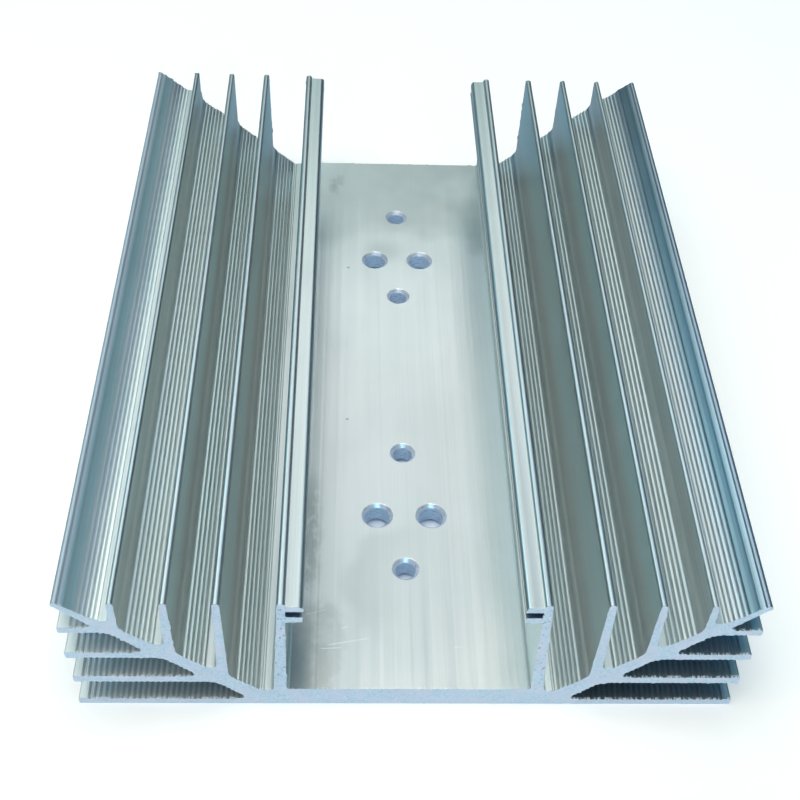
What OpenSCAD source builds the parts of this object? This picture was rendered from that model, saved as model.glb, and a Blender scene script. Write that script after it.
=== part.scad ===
// Extruded aluminium heat sink with two drilled transistor patterns.
// One bar of constant section: a flat base with a walled channel, an
// inclined arm on each side, upright fins on the arms and level fins under
// them, all fluted along the bar. The bar is sawn to length and drilled.
// Frame: +Z up, +Y along the bar, +X across it. Origin at the middle of
// the underside.

/* [Bar] */
// Length sawn from the bar
bar_length = 160; // [120:1:300]
// Overall width across the arms
bar_width = 120.65; // [120:0.05:122]
// Overall height to the fin tips
bar_height = 31.75; // [31.5:0.05:33]
// Thickness of the base under the channel
base_t = 5.1; // [4.8:0.1:5.6]

/* [Channel] */
// Clear width between the two walls at the floor
channel_w = 44.2; // [43.8:0.1:44.6]
// Thickness of a wall at its tip
wall_t = 1.45; // [1.2:0.05:1.6]
// How far a rail stands in from its wall
rail_reach = 3.05; // [2:0.05:4]
// Thickness of the upper rail
rail_t = 1.4; // [1:0.1:1.6]
// Height of the slot between the two rails
slot_h = 1.5; // [1:0.1:1.6]
// Drop from the wall's tip to the upper rail
rail_drop = 0.85; // [0.7:0.05:1.2]

/* [Arms and upright fins] */
// Slope of an arm, in degrees
arm_angle = 39.7; // [39:0.1:40.2]
// Distance of the first upright fin from the middle
fin_first_x = 33.2; // [33:0.05:33.4]
// Spacing of the upright fins
fin_pitch = 8.725; // [8.6:0.025:8.8]
// Thickness of the first upright fin at its tip
fin_tip_t = 1.35; // [1.2:0.05:1.5]
// Draft of a fin's outer face, in degrees
fin_draft = 1.1; // [0.5:0.1:1.5]
// Radius where an upright fin's inner face runs into the arm
fin_root_r = 2.4; // [1.5:0.1:2.6]
// Thickness of the arm's rounded lip
lip_t = 1.2; // [1:0.05:1.3]

/* [Level fins] */
// Thickness of the lowest level fin but one
level_t = 2.1; // [1.9:0.05:2.3]
// How much thinner each level fin above it is
level_thin = 0.2; // [0:0.05:0.3]
// Spacing of the level fins
level_pitch = 7.63; // [7.5:0.01:7.7]
// Top of the lowest level fin
level_first_z = 1.75; // [1.6:0.05:1.9]
// Radius where a level fin's underside runs into the arm
level_root_r = 4; // [2:0.5:5]
// Plain width left at the outer end of a level fin
level_land = 1.98; // [1.5:0.01:2.5]
// How far the lowest level fins stop short of the full width
level_short = 0.4; // [0:0.05:0.6]

/* [Flutes] */
// Pitch of the flutes, measured along the surface
flute_pitch = 1; // [0.9:0.05:1.05]
// Depth of the flutes
flute_depth = 0.22; // [0.16:0.02:0.3]

/* [Holes] */
// Spacing of a transistor's two fixing holes, along the bar
fix_spacing = 30.15; // [29:0.05:31]
// Spacing of a transistor's two pin holes, across the bar
pin_spacing = 10.92; // [10:0.02:12]
// How far the pin row lies from the middle of the fixing holes
pin_offset = 1.83; // [1.5:0.01:2]
// Distance of each pin row from the middle of the bar
row_y = 40; // [36:1:42]
// Diameter of a fixing hole
fix_d = 4; // [3.4:0.1:4.4]
// Diameter of a pin hole
pin_d = 5; // [4.4:0.1:5.4]
// Width of the chamfer round each hole's top
hole_chamfer = 0.7; // [0.3:0.05:1]
// Width of the chamfer round each hole's underside
under_chamfer = 0.9; // [0:0.05:1]

/* [Hidden] */

hw = bar_width/2;
slope = tan(arm_angle);
// crest height of the arm's top at a distance x from the middle
function arm_z(x) = bar_height + 1.1 - slope*(hw - x);

// unit vector, and the points of an arc about c
function dir(a) = [cos(a), sin(a)];
function arc(c, r, a, b, n) = [for (i = [0:n]) c + r*dir(a + (b - a)*i/n)];

// one flute: a round hollow between two crests, u is 0 to 1 across it
function flute(u) = flute_depth*sin(180*u);
flute_n = 4;
// fluted line from p to q with n flutes, hollowed towards v
function fluted(p, q, n, v) =
    [for (i = [0:n*flute_n]) let (u = i/flute_n)
        p + (q - p)*u/n + v*flute(u - floor(u))];

// Level fins, 0 the lowest. Each has a plain land at its outer end.
function level_top(k) = level_first_z + k*level_pitch;
function level_bot(k) = level_top(k) - level_t + level_thin*(k - 1);
land_x = hw - level_land;
// The arm's underside in gap k runs up at 45 degrees: z = x - gap_off(k).
// Gap 3 is open at its end, under the lip.
under_off = 29.35;
function gap_off(k) = k == 3 ? under_off : 27.45 + 0.85*k;
// radius at the root of a gap, and how far it reaches along each face
root_r = 0.5;
root_t = root_r/tan(22.5);
lip_r = lip_t/2;
lip_c = [hw - lip_r, bar_height - lip_r];
lip_low = [lip_c.x - 0.2, lip_c.x - 0.2 - under_off];
lip_foot = [lip_c.x - 1.42, lip_c.y - 0.27];

// Underside of gap k as a path: level, round the corner, then down the
// slope to the root. w is the length gone along it from the outer end.
function under_len(k) =
    let (zu = level_bot(k + 1), t = level_root_r*tan(22.5), xc = zu + gap_off(k),
         a = land_x - xc - t, b = level_root_r*PI/4,
         c = (zu - level_top(k))*sqrt(2) - t - root_t)
    [a, b, c];
function under_pt(k, w, d) =
    let (L = under_len(k), zu = level_bot(k + 1), r = level_root_r,
         t = r*tan(22.5), xa = zu + gap_off(k) + t)
    w <= L[0] ? [land_x - w, zu + d] :
    w <= L[0] + L[1] ?
        let (g = (w - L[0])/r*180/PI) [xa, zu - r] + (r + d)*dir(90 + g) :
        let (s = w - L[0] - L[1])
        [xa, zu - r] + (r + d)*dir(135) - s*dir(45);
function under_gap(k) =
    let (L = under_len(k), T = L[0] + L[1] + L[2],
         n = floor(T/flute_pitch), m = n*flute_n)
    [for (i = [0:m]) let (u = i/flute_n, w = T*i/m)
        under_pt(k, w, flute(u - floor(u)))];

// Fluted top of level fin k, from its root out to its land
function level_face(k) =
    let (x0 = level_top(k) + gap_off(k), z = level_top(k),
         n = floor((land_x - x0 - root_t)/flute_pitch))
    concat(arc([x0 + root_t, z + root_r], root_r, 135, 270, 5),
           fluted([land_x - n*flute_pitch, z], [land_x, z], n, [0, -1]));

// rounded outer end of level fin k, from its bottom corner up
end_r = 0.35;
function end_x(k) = hw - level_short*[1, 1.2, 0.4, 0][k];
function end_up(k) = concat(
    arc([end_x(k) - end_r, max(0, level_bot(k)) + end_r], end_r, -90, 0, 3),
    arc([end_x(k) - end_r, level_top(k) - end_r], end_r, 0, 90, 3));
function rev(v) = [for (i = [len(v) - 1:-1:0]) v[i]];

// Upright fins, 0 the nearest to the channel
function fin_x(j) = fin_first_x + j*fin_pitch;
function fin_t(j) = fin_tip_t - 0.1*j;
tip_r = 0.45;
// Fluted valley on the outer side of fin j, or of the wall for j = -1:
// a plain flat land at the fin's foot, then flutes up the slope
function foot_x(j) = j < 0 ? channel_w/2 + 2.4 :
    fin_x(j) + fin_t(j)/2 + (bar_height - arm_z(fin_x(j) + 1))*tan(fin_draft);
flutes_n = [6, 5, 6, 5];
flute_dx = 0.75*flute_pitch;
function first_crest(j) = j < 0 ? 26.75 : fin_x(j) + 3.23 - 0.365*j;
function land_z(j) = j < 0 ? base_t - 0.35 : arm_z(first_crest(j)) - 0.75 + 0.22*j;
up_n = dir(arm_angle - 90);
// The outermost valley sags a little between its ends. Its flutes stop short
// and a plain, slightly hollow band runs from the last of them to the lip.
function sag(j, x) = j < 2 ? 0 :
    let (m = first_crest(2) + 3.5*flute_dx)
    0.35*max(0, 1 - pow((x - m)/(3.5*flute_dx), 2));
function crest(j, i) = let (x = first_crest(j) + i*flute_dx) [x, arm_z(x) - sag(j, x)];

// valley outside fin j, listed from the outer end inwards
foot_r = 0.6;
function valley(j) =
    let (n = flutes_n[j + 1], x1 = first_crest(j), z1 = arm_z(x1))
    concat(
        j < 2 ? [] : [for (q = [1:7]) let (u = q/8)
            lip_foot + (crest(j, n) - lip_foot)*u + up_n*0.1*sin(180*u)],
        [for (i = [n:-1:1], q = [0:flute_n - 1]) let (u = q/flute_n)
            crest(j, i) + (crest(j, i - 1) - crest(j, i))*u + up_n*flute(u)],
        [[x1, z1]],
        j < 0 ? [[x1 - 0.18, land_z(j) - 0.3], [x1 - 0.4, land_z(j) - 0.3],
                 [x1 - 0.62, land_z(j)]]
              : [[x1 - 0.1, (z1 + 2*land_z(j))/3], [x1 - 0.3, land_z(j)]],
        rev(arc([foot_x(j) + foot_r, land_z(j) + foot_r], foot_r, 180, 270, 4)));

// upright fin j: up the outer face, over the tip, down the inner face and
// round into the arm
function fin(j) =
    let (xo = fin_x(j) + fin_t(j)/2, xi = fin_x(j) - fin_t(j)/2,
         zt = bar_height - tip_r, xr = xi - 0.25 + 0.1*j, r = fin_root_r,
         zc = arm_z(xr), t = r*tan((90 - arm_angle)/2))
    concat(
        arc([xo - tip_r, zt], tip_r, 0, 90, 4),
        arc([xi + tip_r, zt], tip_r, 90, 180, 4),
        [for (p = rev(arc([xr - r, zc + t], r, arm_angle - 90, 0, 6)))
            if (p.x > crest(j - 1, flutes_n[j]).x + 0.03) p]);

// lip at the arm's outer end: a round bead, then a hollow step down to the
// flutes
function lip() = concat(
    [lip_low],
    arc(lip_c, lip_r, -75, 130, 12),
    [lip_foot + [0.5, 0.18], lip_foot + [0.2, 0], lip_foot]);

// wall with its two rails
wall_xo = channel_w/2 - 0.38 + wall_t;
wall_xi = wall_xo - wall_t;
rail_x = wall_xi - rail_reach;
rail_z = bar_height - rail_drop;
rail_r = 0.95;
wall_r = min(0.65, wall_t/2 - 0.02);
function inner_x(z) = channel_w/2 - 0.38*(z - base_t)/(bar_height - base_t);
function wall() = let (zt = bar_height - wall_r, z2 = rail_z - rail_t,
                       z3 = z2 - slot_h, z4 = z3 - rail_t - 0.15)
    concat(
        [[wall_xo + 0.85, 13.6], [wall_xo + 0.45, 21]],
        arc([wall_xo - wall_r, zt], wall_r, 0, 90, 5),
        arc([wall_xi + wall_r, zt], wall_r, 90, 180, 5),
        [[wall_xi, rail_z]],
        arc([rail_x + rail_r, rail_z - rail_r], rail_r, 90, 180, 5),
        [[rail_x, z2], [inner_x(z2) - 0.05, z2], [inner_x(z3) - 0.05, z3],
         [rail_x + 0.15, z3]],
        arc([rail_x + 0.15 + 0.3, z4 + 0.3], 0.3, 180, 270, 3),
        rev(arc([inner_x(z4) - 0.4, z4 - 0.4], 0.4, 0, 90, 3)),
        rev(arc([inner_x(base_t) - 0.5, base_t + 0.5], 0.5, -90, 0, 4)));

// half of the section, from the middle of the underside round to the middle
// of the channel floor
function half() = concat(
    [[0, 0]],
    end_up(0), rev(level_face(0)), rev(under_gap(0)),
    end_up(1), rev(level_face(1)), rev(under_gap(1)),
    end_up(2), rev(level_face(2)), rev(under_gap(2)),
    end_up(3), rev(level_face(3)),
    lip(), valley(2), fin(2), valley(1), fin(1), valley(0), fin(0), valley(-1),
    wall(),
    [[0, base_t]]);

// drop points that repeat the one before them
function clean(v) = [for (i = [0:len(v) - 1])
    if (i == 0 || norm(v[i] - v[max(i - 1, 0)]) > 0.001) v[i]];

module section() {
    h = clean(half());
    n = len(h);
    polygon(concat(h, [for (i = [n - 2:-1:1]) [-h[i].x, h[i].y]]));
}

// a drilled hole with a chamfer at both ends
module hole(d) {
    translate([0, 0, -1]) cylinder(d = d, h = base_t + 2, $fn = 64);
    translate([0, 0, base_t - hole_chamfer])
        cylinder(d1 = d, d2 = d + 2*(hole_chamfer + 0.5), h = hole_chamfer + 0.5, $fn = 64);
    if (under_chamfer > 0)
        translate([0, 0, -0.5])
            cylinder(d1 = d + 2*(under_chamfer + 0.5), d2 = d, h = under_chamfer + 0.5, $fn = 64);
}

// holes for one power transistor, its pin row at y = 0
module transistor_holes() {
    for (s = [-1, 1]) {
        translate([s*pin_spacing/2, 0, 0]) hole(pin_d);
        translate([0, pin_offset + s*fix_spacing/2, 0]) hole(fix_d);
    }
}

module heat_sink() {
    color([0.72, 0.77, 0.77])
    difference() {
        rotate([90, 0, 0])
            linear_extrude(height = bar_length, center = true) section();
        for (s = [-1, 1])
            translate([0, s*row_y, 0]) transistor_holes();
    }
}

heat_sink();
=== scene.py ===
import math

import bpy
import numpy as np
from mathutils import Matrix, Vector
from mathutils.geometry import delaunay_2d_cdt

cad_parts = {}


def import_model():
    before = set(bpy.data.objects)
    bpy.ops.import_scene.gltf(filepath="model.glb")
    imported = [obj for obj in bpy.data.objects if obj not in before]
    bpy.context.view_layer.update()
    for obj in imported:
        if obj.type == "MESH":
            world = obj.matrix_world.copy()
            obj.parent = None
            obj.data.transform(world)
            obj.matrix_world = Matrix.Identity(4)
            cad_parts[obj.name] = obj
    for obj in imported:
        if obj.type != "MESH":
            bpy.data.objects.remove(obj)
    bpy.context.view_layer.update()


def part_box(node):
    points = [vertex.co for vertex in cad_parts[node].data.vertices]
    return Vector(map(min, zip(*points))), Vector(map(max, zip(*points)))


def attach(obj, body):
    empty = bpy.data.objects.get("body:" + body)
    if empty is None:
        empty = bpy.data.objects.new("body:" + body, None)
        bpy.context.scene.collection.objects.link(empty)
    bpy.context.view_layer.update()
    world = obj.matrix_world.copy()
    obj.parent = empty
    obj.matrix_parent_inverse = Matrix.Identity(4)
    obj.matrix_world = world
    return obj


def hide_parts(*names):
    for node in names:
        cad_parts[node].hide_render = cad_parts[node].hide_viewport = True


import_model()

MM = 0.001
lo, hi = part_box("heat_sink")
LENGTH = (hi.y - lo.y) / MM
WIDTH = (hi.x - lo.x) / MM
HEIGHT = (hi.z - lo.z) / MM

# ----------------------------------------------------------------------------
# The camera
# ----------------------------------------------------------------------------
FOCAL = 1261.08
PITCH, ROLL, YAW = 0.809219, 0.0539674, 0.0585999
CAM = (-11.479, -199.508, 206.737)


def camera():
    cx, sx = math.cos(PITCH), math.sin(PITCH)
    cy, sy = math.cos(ROLL), math.sin(ROLL)
    cz, sz = math.cos(YAW), math.sin(YAW)
    rz = np.array([[cz, -sz, 0], [sz, cz, 0], [0, 0, 1]])
    base = np.array([[1, 0, 0], [0, 0, -1], [0, 1, 0]])
    rx = np.array([[1, 0, 0], [0, cx, -sx], [0, sx, cx]])
    rr = np.array([[cy, -sy, 0], [sy, cy, 0], [0, 0, 1]])
    r = rr @ rx @ base @ rz
    world = r.T @ np.diag([1, -1, -1])
    data = bpy.data.cameras.new("camera")
    data.sensor_fit = "HORIZONTAL"
    data.sensor_width = 36.0
    data.lens = FOCAL / 800 * 36.0
    data.clip_start, data.clip_end = 0.01, 20
    obj = bpy.data.objects.new("camera", data)
    bpy.context.scene.collection.objects.link(obj)
    m = Matrix([list(world[i]) + [CAM[i] * MM] for i in range(3)] + [[0, 0, 0, 1]])
    obj.matrix_world = m
    bpy.context.scene.camera = obj
    return obj


camera()

# ----------------------------------------------------------------------------
# The section, with finer flutes than the CAD solid and the same crests
# ----------------------------------------------------------------------------
HW = WIDTH / 2
BASE_T = 5.1
CHANNEL_W = 44.2
WALL_T = 1.45
RAIL_REACH, RAIL_T, SLOT_H, RAIL_DROP = 3.05, 1.4, 1.5, 0.85
ARM = math.radians(39.7)
SLOPE = math.tan(ARM)
FIN_X, FIN_PITCH, FIN_TIP, DRAFT, FIN_R = 33.2, 8.725, 1.35, math.radians(1.1), 2.4
LIP_T = 1.2
LEVEL_T, LEVEL_PITCH, LEVEL_Z, LEVEL_R, LEVEL_LAND = 2.1, 7.63, 1.75, 4.0, 1.98
SHORT = [0.4, 0.48, 0.16, 0.0]
FLUTE, DEPTH = 1.0, 0.22
FIX, PIN, PIN_OFF, ROW_Y = 30.15, 10.92, 1.83, 40.0
FIX_D, PIN_D, CHAMFER, UNDER = 4.0, 5.0, 0.7, 0.9
END_R, TIP_R, ROOT_R = 0.35, 0.45, 0.5
ROOT_T = ROOT_R / math.tan(math.radians(22.5))
LIP_R = LIP_T / 2
LIP_C = (HW - LIP_R, HEIGHT - LIP_R)
LIP_FOOT = (LIP_C[0] - 1.30, LIP_C[1] - 0.22)
UNDER_OFF = 29.35
LAND_X = HW - LEVEL_LAND
US = [0.055, 0.17, 0.335, 0.5, 0.665, 0.83, 0.945]

PLAIN, CREST = 0, 1


def unit(a):
    return (math.cos(math.radians(a)), math.sin(math.radians(a)))


def arc(c, r, a, b, n):
    out = []
    for i in range(n + 1):
        d = unit(a + (b - a) * i / n)
        out.append((c[0] + r * d[0], c[1] + r * d[1], PLAIN))
    return out


def flute(u):
    return DEPTH * math.sin(math.pi * u)


def fluted(p, q, n, v):
    """n hollows from p to q, with narrow worn crests between them."""
    out = [(p[0], p[1], CREST)]
    for k in range(n):
        for u in US:
            w = (k + u) / n
            d = flute(u)
            out.append((p[0] + (q[0] - p[0]) * w + v[0] * d,
                        p[1] + (q[1] - p[1]) * w + v[1] * d,
                        CREST if u in (US[0], US[-1]) else PLAIN))
    out.append((q[0], q[1], CREST))
    return out


def arm_z(x):
    return HEIGHT + 1.1 - SLOPE * (HW - x)


def level_top(k):
    return LEVEL_Z + k * LEVEL_PITCH


def level_bot(k):
    return level_top(k) - LEVEL_T + 0.2 * (k - 1)


def gap_off(k):
    return UNDER_OFF if k == 3 else 27.45 + 0.85 * k


def under_gap(k):
    zu, r = level_bot(k + 1), LEVEL_R
    t = r * math.tan(math.radians(22.5))
    xc = zu + gap_off(k)
    a, b = LAND_X - xc - t, r * math.pi / 4
    c = (zu - level_top(k)) * math.sqrt(2) - t - ROOT_T
    total = a + b + c
    xa = xc + t

    def at(w, d):
        if w <= a:
            return (LAND_X - w, zu + d)
        if w <= a + b:
            g = unit(90 + math.degrees((w - a) / r))
            return (xa + (r + d) * g[0], zu - r + (r + d) * g[1])
        s = w - a - b
        g, h = unit(135), unit(45)
        return (xa + (r + d) * g[0] - s * h[0], zu - r + (r + d) * g[1] - s * h[1])

    n = int(total // FLUTE)
    out = [(*at(0, 0), CREST)]
    for i in range(n):
        for u in US:
            out.append((*at(total * (i + u) / n, flute(u)), CREST if u in (US[0], US[-1]) else PLAIN))
    out.append((*at(total, 0), CREST))
    return out


def level_face(k):
    z = level_top(k)
    x0 = z + gap_off(k)
    n = int((LAND_X - x0 - ROOT_T) // FLUTE)
    return arc((x0 + ROOT_T, z + ROOT_R), ROOT_R, 135, 270, 6) + fluted((LAND_X - n * FLUTE, z), (LAND_X, z), n, (0, -1))


def end_up(k):
    x = HW - SHORT[k] - END_R
    return (arc((x, max(0, level_bot(k)) + END_R), END_R, -90, 0, 4)
            + arc((x, level_top(k) - END_R), END_R, 0, 90, 4))


def fin_x(j):
    return FIN_X + j * FIN_PITCH


def fin_t(j):
    return FIN_TIP - 0.1 * j


def foot_x(j):
    if j < 0:
        return CHANNEL_W / 2 + 2.4
    return fin_x(j) + fin_t(j) / 2 + (HEIGHT - arm_z(fin_x(j) + 1)) * math.tan(DRAFT)


FLUTES_N = [6, 5, 6, 5]
DX = 0.75 * FLUTE


def first_crest(j):
    return 26.75 if j < 0 else fin_x(j) + 3.23 - 0.365 * j


def land_z(j):
    return BASE_T - 0.35 if j < 0 else arm_z(first_crest(j)) - 0.75 + 0.22 * j


def sag(j, x):
    if j < 2:
        return 0.0
    m = first_crest(2) + 3.5 * DX
    return 0.35 * max(0.0, 1 - ((x - m) / (3.5 * DX)) ** 2)


def crest(j, i):
    x = first_crest(j) + i * DX
    return (x, arm_z(x) - sag(j, x))


UP = (math.cos(ARM - math.pi / 2), math.sin(ARM - math.pi / 2))


def valley(j):
    n = FLUTES_N[j + 1]
    x1, z1 = first_crest(j), arm_z(first_crest(j))
    out = []
    if j == 2:
        a, b = LIP_FOOT, crest(j, n)
        for q in range(1, 8):
            u = q / 8
            d = 0.06 * math.sin(math.pi * u)
            out.append((a[0] + (b[0] - a[0]) * u + UP[0] * d, a[1] + (b[1] - a[1]) * u + UP[1] * d, PLAIN))
    out.append((*crest(j, n), CREST))
    for i in range(n, 0, -1):
        a, b = crest(j, i), crest(j, i - 1)
        for u in US:
            d = flute(u) * (1.0 if j < 2 else 1.0 - 0.13 * (i - 1))
            out.append((a[0] + (b[0] - a[0]) * u + UP[0] * d, a[1] + (b[1] - a[1]) * u + UP[1] * d,
                        CREST if u in (US[0], US[-1]) else PLAIN))
    out.append((x1, z1, CREST))
    if j < 0:
        out += [(x1 - 0.18, land_z(j) - 0.3, PLAIN), (x1 - 0.4, land_z(j) - 0.3, PLAIN), (x1 - 0.62, land_z(j), PLAIN)]
    else:
        out += [(x1 - 0.1, (z1 + 2 * land_z(j)) / 3, PLAIN), (x1 - 0.3, land_z(j), PLAIN)]
    out += arc((foot_x(j) + 0.6, land_z(j) + 0.6), 0.6, 180, 270, 5)[::-1]
    return out


def fin(j):
    xo, xi = fin_x(j) + fin_t(j) / 2, fin_x(j) - fin_t(j) / 2
    tip = fin_t(j) / 2 - 0.03
    zt, xr, r = HEIGHT - tip, fin_x(j) - fin_t(j) / 2 - 0.25 + 0.1 * j, FIN_R
    zc, t = arm_z(xr), r * math.tan((math.pi / 2 - ARM) / 2)
    low = crest(j - 1, FLUTES_N[j])[0] + 0.03
    foot = [p for p in arc((xr - r, zc + t), r, math.degrees(ARM) - 90, 0, 10)[::-1] if p[0] > low]
    return arc((xo - tip, zt), tip, 0, 90, 8) + arc((xi + tip, zt), tip, 90, 180, 8) + foot


def lip():
    low = LIP_C[0] - 0.2
    return ([(low, low - UNDER_OFF, PLAIN)] + arc(LIP_C, LIP_R, -75, 158, 16)
            + [(LIP_FOOT[0] + 0.70, LIP_FOOT[1] + 0.36, CREST), (*LIP_FOOT, PLAIN)])


WALL_XO = CHANNEL_W / 2 - 0.38 + WALL_T
WALL_XI = WALL_XO - WALL_T
RAIL_X = WALL_XI - RAIL_REACH
RAIL_Z = HEIGHT - RAIL_DROP
WALL_R, RAIL_R = 0.65, 0.95


def inner_x(z):
    return CHANNEL_W / 2 - 0.38 * (z - BASE_T) / (HEIGHT - BASE_T)


def wall():
    zt = HEIGHT - WALL_R
    z2 = RAIL_Z - RAIL_T
    z3 = z2 - SLOT_H
    z4 = z3 - RAIL_T - 0.15
    return ([(WALL_XO + 0.85, 13.6, PLAIN), (WALL_XO + 0.45, 21, PLAIN)]
            + arc((WALL_XO - WALL_R, zt), WALL_R, 0, 90, 8)
            + arc((WALL_XI + WALL_R, zt), WALL_R, 90, 180, 8)
            + [(WALL_XI, RAIL_Z, PLAIN)]
            + arc((RAIL_X + RAIL_R, RAIL_Z - RAIL_R), RAIL_R, 90, 180, 9)
            + [(RAIL_X, z2, PLAIN), (inner_x(z2) - 0.05, z2, PLAIN), (inner_x(z3) - 0.05, z3, PLAIN), (RAIL_X + 0.15, z3, PLAIN)]
            + arc((RAIL_X + 0.45, z4 + 0.3), 0.3, 180, 270, 4)
            + arc((inner_x(z4) - 0.4, z4 - 0.4), 0.4, 0, 90, 4)[::-1]
            + arc((inner_x(BASE_T) - 0.5, BASE_T + 0.5), 0.5, -90, 0, 5)[::-1])


def half():
    out = [(0, 0, PLAIN)]
    for k in (0, 1, 2):
        out += end_up(k) + level_face(k)[::-1] + under_gap(k)[::-1]
    out += end_up(3) + level_face(3)[::-1] + lip()
    out += valley(2) + fin(2) + valley(1) + fin(1) + valley(0) + fin(0) + valley(-1) + wall()
    out += [(0, BASE_T, PLAIN)]
    clean = [out[0]]
    for p in out[1:]:
        if math.hypot(p[0] - clean[-1][0], p[1] - clean[-1][1]) > 0.002:
            clean.append(p)
    return clean


def ring():
    """The closed outline, anticlockwise seen from the front, with long runs cut to 0.6 mm."""
    h = half()
    full = h + [(-x, z, t) for x, z, t in h[::-1][1:-1]]
    out = []
    n = len(full)
    for i in range(n):
        a, b = full[i], full[(i + 1) % n]
        d = math.hypot(b[0] - a[0], b[1] - a[1])
        m = max(1, int(math.ceil(d / 0.6)))
        for q in range(m):
            w = q / m
            out.append((a[0] + (b[0] - a[0]) * w, a[1] + (b[1] - a[1]) * w, a[2] if q == 0 else PLAIN))
    return out


RING = ring()
N = len(RING)
XZ = np.array([(p[0], p[1]) for p in RING])
TAG = np.array([p[2] for p in RING])
NEXT = np.roll(XZ, -1, 0)
SEG = NEXT - XZ
SLEN = np.linalg.norm(SEG, axis=1)
SNRM = np.stack([SEG[:, 1], -SEG[:, 0]], 1) / SLEN[:, None]

# normals at both ends of every segment: smooth through curves and worn crests,
# sharp elsewhere, and the longer run leads
PREV = np.roll(SNRM, 1, 0)
PLEN = np.roll(SLEN, 1)


def long_run():
    """Length of the straight run each segment belongs to."""
    same = np.einsum("ij,ij->i", SNRM, PREV) > 0.99999
    start = int(np.argmin(same))
    run = np.zeros(N)
    i = 0
    while i < N:
        j = i
        total = SLEN[(start + i) % N]
        while j + 1 < N and same[(start + j + 1) % N]:
            j += 1
            total += SLEN[(start + j) % N]
        for q in range(i, j + 1):
            run[(start + q) % N] = total
        i = j + 1
    return run


RUN = long_run()
PRUN = np.roll(RUN, 1)
cosang = np.einsum("ij,ij->i", SNRM, PREV)
limit = np.where(TAG == CREST, math.cos(math.radians(48)), math.cos(math.radians(34)))
smooth = cosang > limit
avg = SNRM * RUN[:, None] ** 1.5 + PREV * PRUN[:, None] ** 1.5
avg /= np.linalg.norm(avg, axis=1)[:, None]
VN_AFTER = np.where(smooth[:, None], avg, SNRM)    # at vertex i, for segment i
VN_BEFORE = np.where(smooth[:, None], avg, PREV)   # at vertex i, for segment i-1

# smooth vertex normal for burrs and edge breaks
VN = SNRM + PREV
VN /= np.maximum(np.linalg.norm(VN, axis=1), 1e-6)[:, None]

IS_FLOOR = (np.abs(XZ[:, 1] - BASE_T) < 1e-6) & (np.abs(NEXT[:, 1] - BASE_T) < 1e-6) & (np.abs(XZ[:, 0]) < 22.1)
IS_BOTTOM = (np.abs(XZ[:, 1]) < 1e-6) & (np.abs(NEXT[:, 1]) < 1e-6)

# ----------------------------------------------------------------------------
# Smooth noise for shaping
# ----------------------------------------------------------------------------


def lattice(seed, n=4096):
    return np.random.default_rng(seed).uniform(-1, 1, n)


def noise1(s, scale, seed):
    t = np.asarray(s, float) / scale
    i = np.floor(t).astype(int)
    f = t - i
    f = f * f * (3 - 2 * f)
    g = lattice(seed)
    return g[i % 4096] * (1 - f) + g[(i + 1) % 4096] * f


def noise2(x, y, scale, seed):
    g = np.random.default_rng(seed).uniform(-1, 1, (256, 256))
    a, b = np.asarray(x, float) / scale, np.asarray(y, float) / scale
    i, j = np.floor(a).astype(int), np.floor(b).astype(int)
    f, h = a - i, b - j
    f, h = f * f * (3 - 2 * f), h * h * (3 - 2 * h)
    i0, i1, j0, j1 = i % 256, (i + 1) % 256, j % 256, (j + 1) % 256
    return ((g[i0, j0] * (1 - f) + g[i1, j0] * f) * (1 - h) + (g[i0, j1] * (1 - f) + g[i1, j1] * f) * h)


# ----------------------------------------------------------------------------
# Mesh of the bar
# ----------------------------------------------------------------------------
verts, faces, mats, normals = [], [], [], []


def add_verts(points):
    start = len(verts)
    verts.extend(points)
    return start


def add_face(idx, mat, nrm=None):
    faces.append(tuple(idx))
    mats.append(mat)
    normals.append(nrm)


EXTRUDED, SAWN, DRILLED, LEVEL, FLOOR = 0, 1, 2, 3, 4
FACE = 0.06                      # the sawn faces lie this far inside the box
Y0, Y1 = -LENGTH / 2 + FACE, LENGTH / 2 - FACE
ROWS = [Y0, Y0 + 0.07, Y0 + 0.22, Y0 + 0.6, Y0 + 1.6, Y0 + 4.0]
ROWS += list(np.linspace(Y0 + 16, Y1 - 16, 7))
ROWS += [Y1 - 4.0, Y1 - 1.6, Y1 - 0.6, Y1 - 0.22, Y1 - 0.07, Y1]
NR = len(ROWS)
ARCLEN = np.concatenate([[0], np.cumsum(SLEN)[:-1]])


def edge_shape(seed):
    """How far the outline stands out of or in from true at a sawn end: a
    broken edge, with a few torn burrs."""
    e = -0.035 + 0.03 * noise1(ARCLEN, 0.5, seed) + 0.02 * noise1(ARCLEN, 0.17, seed + 1)
    torn = np.maximum(0, noise1(ARCLEN, 0.62, seed + 2) - 0.45) * 0.42
    g = np.random.default_rng(seed + 3)
    pick = g.uniform(0, 1, N)
    burr_and_glint = np.where(ON_LEVEL & (pick > 0.3), 0.10 + 0.17 * g.uniform(0, 1, N), 0.0)
    return e * (burr_and_glint == 0) + torn * (burr_and_glint == 0) + burr_and_glint


# flute crests on the level fins' upper faces, where the saw dragged up a burr
ON_LEVEL = np.zeros(N, bool)
for _k in range(4):
    ON_LEVEL |= (TAG == CREST) & (np.abs(XZ[:, 1] - level_top(_k)) < 0.01) & (np.abs(XZ[:, 0]) > 27)


ring_start = []
for r, y in enumerate(ROWS):
    front = r < NR // 2
    depth = (y - Y0) if front else (Y1 - y)
    seed = 11 if front else 51
    pts = XZ.copy()
    if depth < 0.3:
        fade = {0: 1.0}.get(round(depth, 3), 0.35 if depth < 0.1 else 0.0)
        off = edge_shape(seed)
        off = off * np.where(off > 0.08, max(fade, 0.8 if depth < 0.1 else 0.3), fade)
        pts = pts + VN * off[:, None]
    pts[:, 0] = np.clip(pts[:, 0], -HW, HW)
    pts[:, 1] = np.clip(pts[:, 1], 0, HEIGHT)
    ring_start.append(add_verts([(float(p[0]), float(y), float(p[1])) for p in pts]))


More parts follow.
